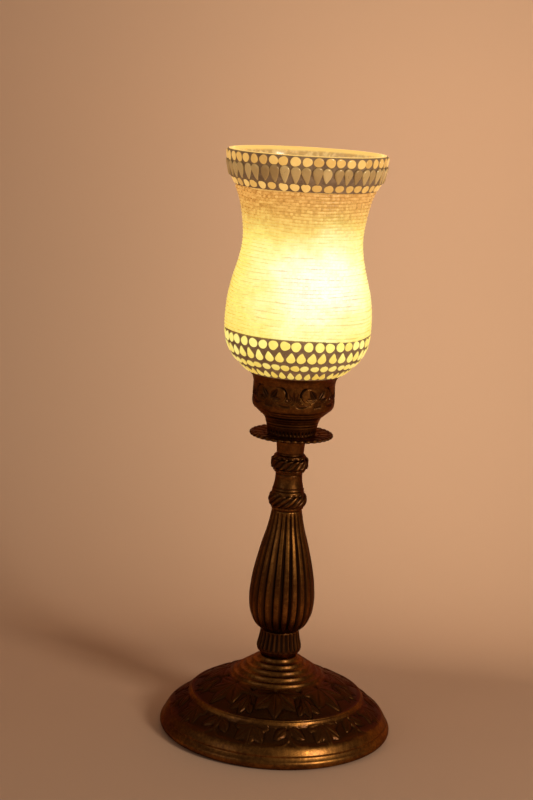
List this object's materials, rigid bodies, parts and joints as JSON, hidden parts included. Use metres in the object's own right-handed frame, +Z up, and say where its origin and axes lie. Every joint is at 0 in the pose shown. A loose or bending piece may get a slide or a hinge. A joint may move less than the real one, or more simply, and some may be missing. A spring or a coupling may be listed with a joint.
{
  "type": "mosaic glass table lamp",
  "caption": "Table lamp with a hurricane shaped mosaic and beaded glass shade in a brass cup on a turned, reeded stem and an embossed domed foot.",
  "frame": {"origin": "centre of the foot's underside, on the table", "axes": "+Z up along the stem; -Y towards the viewer, with the cord inlet at the back (+Y)"},
  "size_m": [0.16, 0.16, 0.4],
  "materials": {
    "felt": "dense dark green felt",
    "steel": "zinc plated",
    "iron": "rough casting, painted",
    "antique_brass": "dark brown patina rubbed back to gold on the high places",
    "plain_brass": "turned, unlacquered",
    "black_plastic": "moulded",
    "white_plastic": "moulded",
    "brown_insulation": "PVC",
    "blue_insulation": "PVC",
    "porcelain": "glazed white",
    "shade_glass": "blown, clear to slightly amber",
    "grout": "matt grey-brown mosaic grout",
    "amber_tiles": "round amber glass tiles, lit from behind",
    "mirror_tiles": "aged mirror drops",
    "glass_beads": "pale yellow seed beads on thread",
    "cream_tiles": "pale yellow glass tiles, lit from behind",
    "solder": "solder",
    "black_glass": "black vitrite",
    "nickel": "nickel plated",
    "bulb_glass": "clear",
    "filament": "glowing warm white"
  },
  "bodies": {
    "lamp": {"felt_pad": "felt", "base_plate": "steel", "base_plate_screws": "steel", "base_weight": "iron", "base_shell": "antique_brass", "cord_grommet": "black_plastic", "terminal_block": "white_plastic", "terminal_block_screws": "plain_brass", "lead_live": "brown_insulation", "lead_neutral": "blue_insulation", "threaded_tube": "steel", "tube_nuts": "plain_brass", "tube_washers": "steel", "stem_collar": "antique_brass", "stem_vase": "antique_brass", "rope_ring_lower": "antique_brass", "stem_spool": "antique_brass", "rope_ring_upper": "antique_brass", "stem_neck": "antique_brass", "drip_pan": "antique_brass", "cup_neck": "antique_brass", "gallery_cup": "antique_brass", "holder_cap": "black_plastic", "holder_sleeve": "black_plastic", "holder_insert": "porcelain", "holder_screws": "plain_brass", "holder_screw_shell": "plain_brass", "holder_contacts": "plain_brass"},
    "shade": {"shade_glass": "shade_glass", "grout_upper": "grout", "grout_lower": "grout", "rim_round_tiles": "amber_tiles", "mirror_drop_tiles": "mirror_tiles", "shoulder_round_tiles": "amber_tiles", "bead_strings": "glass_beads", "belly_round_tiles": "cream_tiles", "belly_drop_tiles": "cream_tiles", "bowl_round_tiles": "cream_tiles", "bowl_drop_tiles": "cream_tiles"},
    "bulb_rise_carrier": {"bulb_contact": "solder"},
    "bulb": {"bulb_insulator": "black_glass", "bulb_cap": "nickel", "bulb_glass": "bulb_glass", "bulb_stem": "bulb_glass", "bulb_wires": "nickel", "bulb_filaments": "filament"}
  },
  "joints": [
    {"name": "shade_lift", "type": "slide", "parent": "lamp", "child": "shade", "axis": [0, 0, 1], "range_m": [0, 0.16]},
    {"name": "bulb_rise", "type": "slide", "parent": "lamp", "child": "bulb_rise_carrier", "axis": [0, 0, 1], "range_m": [0, 0.00705]},
    {"name": "bulb_unscrew", "type": "hinge", "parent": "bulb_rise_carrier", "child": "bulb", "pos_m": [0, 0, 0.3], "axis": [0, 0, 1], "range_deg": [0, 900]}
  ],
  "couplings": [
    {"joint": "bulb_unscrew", "follows": "bulb_rise", "rad_per_m": 2228.1}
  ]
}
